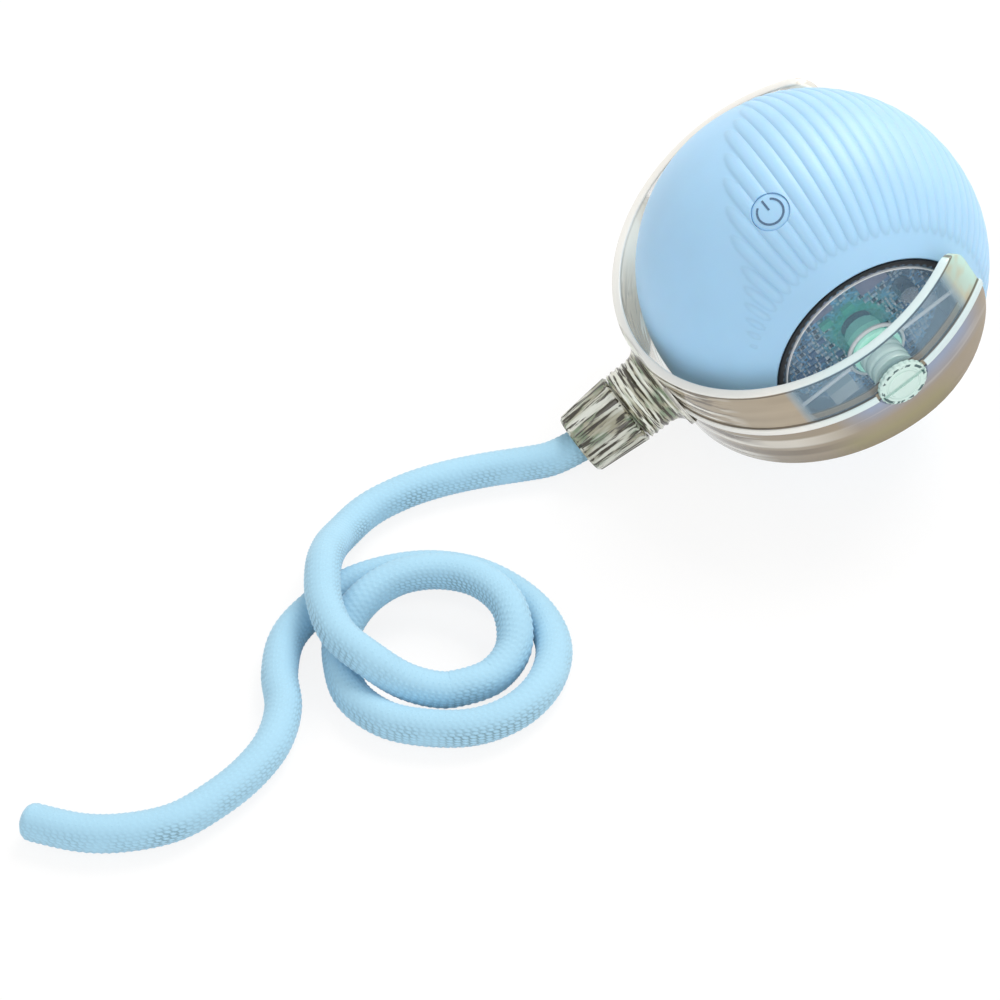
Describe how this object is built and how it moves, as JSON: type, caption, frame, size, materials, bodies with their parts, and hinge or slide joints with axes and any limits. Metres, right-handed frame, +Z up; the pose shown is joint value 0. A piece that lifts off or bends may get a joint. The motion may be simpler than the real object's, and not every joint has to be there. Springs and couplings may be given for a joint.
{
  "type": "self rolling cat ball",
  "caption": "Motorised ball with a ribbed silicone skin that turns in a clear C-shaped yoke, which trails a knitted rope from a knurled neck.",
  "frame": {"origin": "on the floor, under the middle of the ball, yoke and collar taken together, without the rope", "axes": "+Z up from the floor; +Y along the ball's axle, from the side with the button to the side with the charging slot; the neck and the rope point to -X"},
  "size_m": [0.1879, 0.0875, 0.0607],
  "materials": {
    "blue_silicone": "moulded silicone, satin and soft to the touch",
    "dark_shell": "moulded, fine matt texture",
    "clear_window": "polished, clear with a faint smoke tint",
    "clear_pivot": "clear with a faint green tint",
    "clear_yoke": "polished and clear",
    "white_acetal": "turned, slightly waxy",
    "brass": "bright, as machined",
    "knitted_rope": "fine knitted sleeve over a soft core",
    "steel": "zinc plated",
    "white_plastic": "moulded, matt",
    "battery_wrap": "shrink film",
    "cast_weight": "as cast, dull",
    "board": "lacquered laminate",
    "chip_package": "moulded epoxy",
    "capacitor_can": "drawn can",
    "light_lens": "diffusing lens"
  },
  "bodies": {
    "tether": {"yoke": "clear_yoke", "pivot_pin_near": "clear_pivot", "pivot_pin_far": "clear_pivot", "pivot_screw_near": "clear_pivot", "pivot_screw_far": "clear_pivot", "rope_ferrule": "brass", "rope": "knitted_rope"},
    "collar": {"clamp_collar": "clear_yoke"},
    "ball": {"silicone_sleeve": "blue_silicone", "core_half_near": "dark_shell", "core_half_far": "dark_shell", "window_near": "clear_window", "window_far": "clear_window", "bush_near": "white_acetal", "bush_far": "white_acetal", "shell_screw_1": "steel", "shell_screw_2": "steel", "shell_screw_3": "steel", "chassis": "white_plastic", "battery": "battery_wrap", "motor": "steel", "axle_bush": "brass", "main_board": "board", "board_screw_1": "steel", "board_screw_2": "steel", "controller_chip": "chip_package", "driver_chip": "chip_package", "capacitor": "capacitor_can", "battery_connector": "white_plastic", "status_light_1": "light_lens", "status_light_2": "light_lens", "tact_switch": "chip_package", "switch_board": "board", "charge_port": "steel", "charge_board": "board"},
    "weight": {"eccentric_weight": "cast_weight", "drive_gear": "white_plastic", "weight_axle": "steel", "axle_clip": "steel"},
    "pinion": {"motor_pinion": "brass", "motor_shaft": "steel"},
    "button": {"power_button": "blue_silicone"}
  },
  "joints": [
    {"name": "ball_spin", "type": "hinge", "parent": "tether", "child": "ball", "pos_m": [0.00801, 0, 0.03035], "axis": [0, 1, 0], "continuous": true},
    {"name": "weight_spin", "type": "hinge", "parent": "ball", "child": "weight", "pos_m": [0.00801, 0, 0.03035], "axis": [0, 1, 0], "continuous": true},
    {"name": "pinion_spin", "type": "hinge", "parent": "ball", "child": "pinion", "pos_m": [0.00801, 0, 0.01504], "axis": [0, 1, 0], "continuous": true},
    {"name": "collar_turn", "type": "hinge", "parent": "tether", "child": "collar", "pos_m": [-0.02628, 0, 0.01035], "axis": [-0.8638, 0, -0.5038], "range_deg": [-1080, 0]},
    {"name": "button_press", "type": "slide", "parent": "ball", "child": "button", "axis": [0.4738, 0.3551, -0.8059], "range_m": [0, 0.0006], "stiffness_N_per_m": 2500}
  ],
  "couplings": [
    {"joint": "pinion_spin", "follows": "weight_spin", "ratio": -4}
  ]
}
